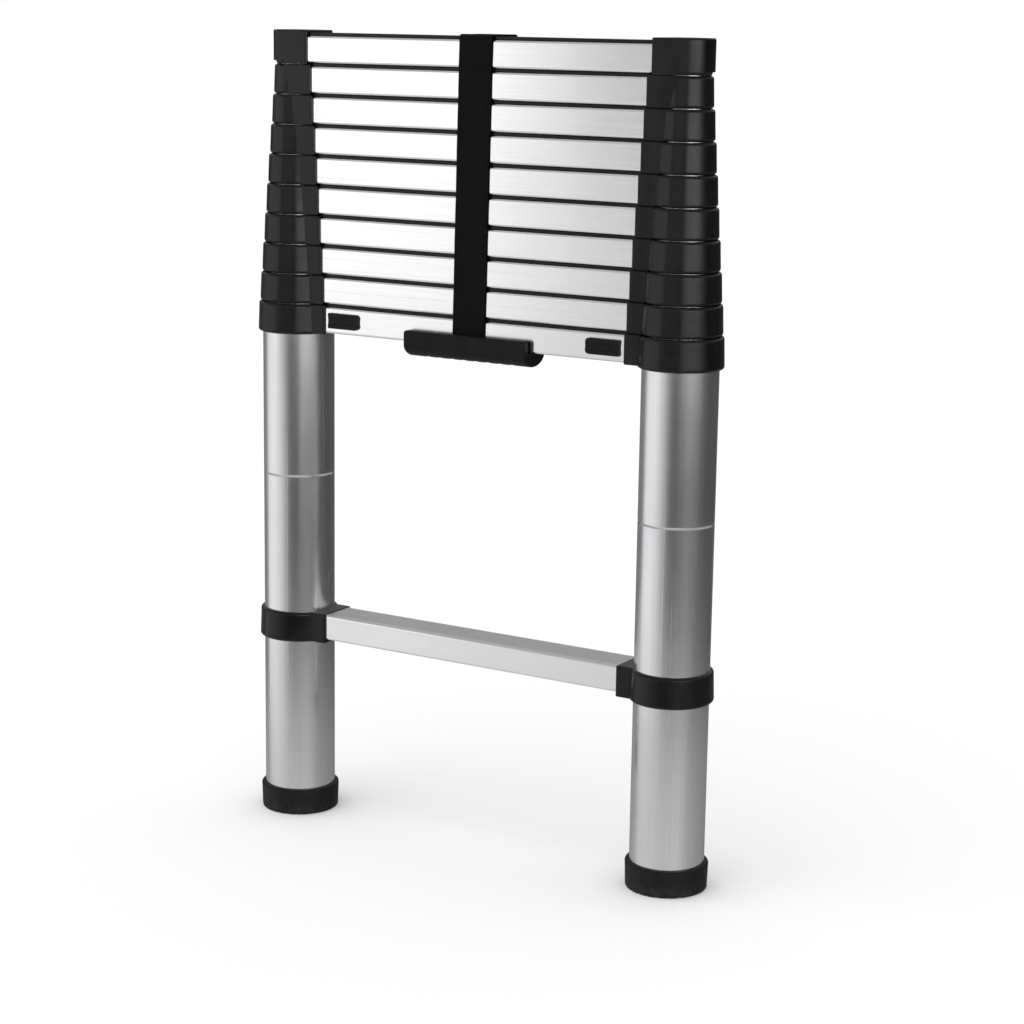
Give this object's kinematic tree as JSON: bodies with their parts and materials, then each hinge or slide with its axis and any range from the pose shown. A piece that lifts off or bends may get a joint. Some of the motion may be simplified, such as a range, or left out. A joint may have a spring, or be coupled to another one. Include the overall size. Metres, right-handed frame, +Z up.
{
  "type": "telescoping ladder",
  "caption": "Telescoping aluminium ladder pushed home: nested round posts with black collars, stacked rungs, a lower rung, thumb release buttons, grip handle, strap and rubber feet.",
  "frame": {"origin": "on the ground, midway between the two posts' axes", "axes": "+Z up along the posts, the way the sections draw out; +X to the right along the rungs; -Y is the side with the handle and the release buttons"},
  "size_m": [0.4916, 0.077, 0.761],
  "materials": {
    "tube_aluminium": "satin anodised",
    "rung_aluminium": "brushed",
    "collar_plastic": "moulded, light sheen",
    "grip_plastic": "moulded, fine grain",
    "button_plastic": "moulded",
    "foot_rubber": "moulded",
    "strap_webbing": "woven webbing",
    "pin_steel": "turned, zinc plated",
    "spring_steel": "drawn wire"
  },
  "bodies": {
    "base": {"base_tube_left": "tube_aluminium", "base_tube_right": "tube_aluminium", "foot_left": "foot_rubber", "foot_right": "foot_rubber", "lower_brackets": "collar_plastic", "lower_rung": "rung_aluminium", "base_collars_and_tread": "collar_plastic", "base_rung": "rung_aluminium", "carry_handle": "grip_plastic", "closure_strap": "strap_webbing", "base_lock_spring_left": "spring_steel", "base_lock_spring_right": "spring_steel"},
    "release_left": {"release_button_left": "button_plastic", "base_lock_pin_left": "pin_steel"},
    "release_right": {"release_button_right": "button_plastic", "base_lock_pin_right": "pin_steel"},
    "section_1": {"section_1_tubes": "tube_aluminium", "section_1_rung": "rung_aluminium", "section_1_collars_plugs_and_tread": "collar_plastic"},
    "section_2": {"section_2_tubes": "tube_aluminium", "section_2_rung": "rung_aluminium", "section_2_collars_plugs_and_tread": "collar_plastic"},
    "section_3": {"section_3_tubes": "tube_aluminium", "section_3_rung": "rung_aluminium", "section_3_collars_plugs_and_tread": "collar_plastic"},
    "section_4": {"section_4_tubes": "tube_aluminium", "section_4_rung": "rung_aluminium", "section_4_collars_plugs_and_tread": "collar_plastic"},
    "section_5": {"section_5_tubes": "tube_aluminium", "section_5_rung": "rung_aluminium", "section_5_collars_plugs_and_tread": "collar_plastic"},
    "section_6": {"section_6_tubes": "tube_aluminium", "section_6_rung": "rung_aluminium", "section_6_collars_plugs_and_tread": "collar_plastic"},
    "section_7": {"section_7_tubes": "tube_aluminium", "section_7_rung": "rung_aluminium", "section_7_collars_plugs_and_tread": "collar_plastic"},
    "section_8": {"section_8_tubes": "tube_aluminium", "section_8_rung": "rung_aluminium", "section_8_collars_plugs_and_tread": "collar_plastic"},
    "section_9": {"section_9_tubes": "tube_aluminium", "section_9_rung": "rung_aluminium", "top_caps_plugs_and_tread": "collar_plastic", "closure_strap_end": "strap_webbing"},
    "lock_1_left": {"section_1_lock_pin_left": "pin_steel"},
    "lock_1_right": {"section_1_lock_pin_right": "pin_steel"},
    "lock_2_left": {"section_2_lock_pin_left": "pin_steel"},
    "lock_2_right": {"section_2_lock_pin_right": "pin_steel"},
    "lock_3_left": {"section_3_lock_pin_left": "pin_steel"},
    "lock_3_right": {"section_3_lock_pin_right": "pin_steel"},
    "lock_4_left": {"section_4_lock_pin_left": "pin_steel"},
    "lock_4_right": {"section_4_lock_pin_right": "pin_steel"},
    "lock_5_left": {"section_5_lock_pin_left": "pin_steel"},
    "lock_5_right": {"section_5_lock_pin_right": "pin_steel"},
    "lock_6_left": {"section_6_lock_pin_left": "pin_steel"},
    "lock_6_right": {"section_6_lock_pin_right": "pin_steel"},
    "lock_7_left": {"section_7_lock_pin_left": "pin_steel"},
    "lock_7_right": {"section_7_lock_pin_right": "pin_steel"},
    "lock_8_left": {"section_8_lock_pin_left": "pin_steel"},
    "lock_8_right": {"section_8_lock_pin_right": "pin_steel"}
  },
  "joints": [
    {"name": "section_1_slide", "type": "slide", "parent": "base", "child": "section_1", "axis": [0, 0, 1], "range_m": [0, 0.2721]},
    {"name": "section_2_slide", "type": "slide", "parent": "section_1", "child": "section_2", "axis": [0, 0, 1], "range_m": [0, 0.2721]},
    {"name": "section_3_slide", "type": "slide", "parent": "section_2", "child": "section_3", "axis": [0, 0, 1], "range_m": [0, 0.2721]},
    {"name": "section_4_slide", "type": "slide", "parent": "section_3", "child": "section_4", "axis": [0, 0, 1], "range_m": [0, 0.2721]},
    {"name": "section_5_slide", "type": "slide", "parent": "section_4", "child": "section_5", "axis": [0, 0, 1], "range_m": [0, 0.2721]},
    {"name": "section_6_slide", "type": "slide", "parent": "section_5", "child": "section_6", "axis": [0, 0, 1], "range_m": [0, 0.2721]},
    {"name": "section_7_slide", "type": "slide", "parent": "section_6", "child": "section_7", "axis": [0, 0, 1], "range_m": [0, 0.2721]},
    {"name": "section_8_slide", "type": "slide", "parent": "section_7", "child": "section_8", "axis": [0, 0, 1], "range_m": [0, 0.2721]},
    {"name": "section_9_slide", "type": "slide", "parent": "section_8", "child": "section_9", "axis": [0, 0, 1], "range_m": [0, 0.2721]},
    {"name": "release_left_slide", "type": "slide", "parent": "base", "child": "release_left", "axis": [1, 0, 0], "range_m": [0, 0.004], "stiffness_N_per_m": 600, "springref_m": -0.007, "deforming": ["base_lock_spring_left"]},
    {"name": "release_right_slide", "type": "slide", "parent": "base", "child": "release_right", "axis": [-1, 0, 0], "range_m": [0, 0.004], "stiffness_N_per_m": 600, "springref_m": -0.007, "deforming": ["base_lock_spring_right"]},
    {"name": "lock_1_left_slide", "type": "slide", "parent": "section_1", "child": "lock_1_left", "axis": [1, 0, 0], "range_m": [0, 0.004], "stiffness_N_per_m": 600, "springref_m": -0.007},
    {"name": "lock_1_right_slide", "type": "slide", "parent": "section_1", "child": "lock_1_right", "axis": [-1, 0, 0], "range_m": [0, 0.004], "stiffness_N_per_m": 600, "springref_m": -0.007},
    {"name": "lock_2_left_slide", "type": "slide", "parent": "section_2", "child": "lock_2_left", "axis": [1, 0, 0], "range_m": [0, 0.004], "stiffness_N_per_m": 600, "springref_m": -0.007},
    {"name": "lock_2_right_slide", "type": "slide", "parent": "section_2", "child": "lock_2_right", "axis": [-1, 0, 0], "range_m": [0, 0.004], "stiffness_N_per_m": 600, "springref_m": -0.007},
    {"name": "lock_3_left_slide", "type": "slide", "parent": "section_3", "child": "lock_3_left", "axis": [1, 0, 0], "range_m": [0, 0.004], "stiffness_N_per_m": 600, "springref_m": -0.007},
    {"name": "lock_3_right_slide", "type": "slide", "parent": "section_3", "child": "lock_3_right", "axis": [-1, 0, 0], "range_m": [0, 0.004], "stiffness_N_per_m": 600, "springref_m": -0.007},
    {"name": "lock_4_left_slide", "type": "slide", "parent": "section_4", "child": "lock_4_left", "axis": [1, 0, 0], "range_m": [0, 0.004], "stiffness_N_per_m": 600, "springref_m": -0.007},
    {"name": "lock_4_right_slide", "type": "slide", "parent": "section_4", "child": "lock_4_right", "axis": [-1, 0, 0], "range_m": [0, 0.004], "stiffness_N_per_m": 600, "springref_m": -0.007},
    {"name": "lock_5_left_slide", "type": "slide", "parent": "section_5", "child": "lock_5_left", "axis": [1, 0, 0], "range_m": [0, 0.004], "stiffness_N_per_m": 600, "springref_m": -0.007},
    {"name": "lock_5_right_slide", "type": "slide", "parent": "section_5", "child": "lock_5_right", "axis": [-1, 0, 0], "range_m": [0, 0.004], "stiffness_N_per_m": 600, "springref_m": -0.007},
    {"name": "lock_6_left_slide", "type": "slide", "parent": "section_6", "child": "lock_6_left", "axis": [1, 0, 0], "range_m": [0, 0.004], "stiffness_N_per_m": 600, "springref_m": -0.007},
    {"name": "lock_6_right_slide", "type": "slide", "parent": "section_6", "child": "lock_6_right", "axis": [-1, 0, 0], "range_m": [0, 0.004], "stiffness_N_per_m": 600, "springref_m": -0.007},
    {"name": "lock_7_left_slide", "type": "slide", "parent": "section_7", "child": "lock_7_left", "axis": [1, 0, 0], "range_m": [0, 0.004], "stiffness_N_per_m": 600, "springref_m": -0.007},
    {"name": "lock_7_right_slide", "type": "slide", "parent": "section_7", "child": "lock_7_right", "axis": [-1, 0, 0], "range_m": [0, 0.004], "stiffness_N_per_m": 600, "springref_m": -0.007},
    {"name": "lock_8_left_slide", "type": "slide", "parent": "section_8", "child": "lock_8_left", "axis": [1, 0, 0], "range_m": [0, 0.004], "stiffness_N_per_m": 600, "springref_m": -0.007},
    {"name": "lock_8_right_slide", "type": "slide", "parent": "section_8", "child": "lock_8_right", "axis": [-1, 0, 0], "range_m": [0, 0.004], "stiffness_N_per_m": 600, "springref_m": -0.007}
  ]
}
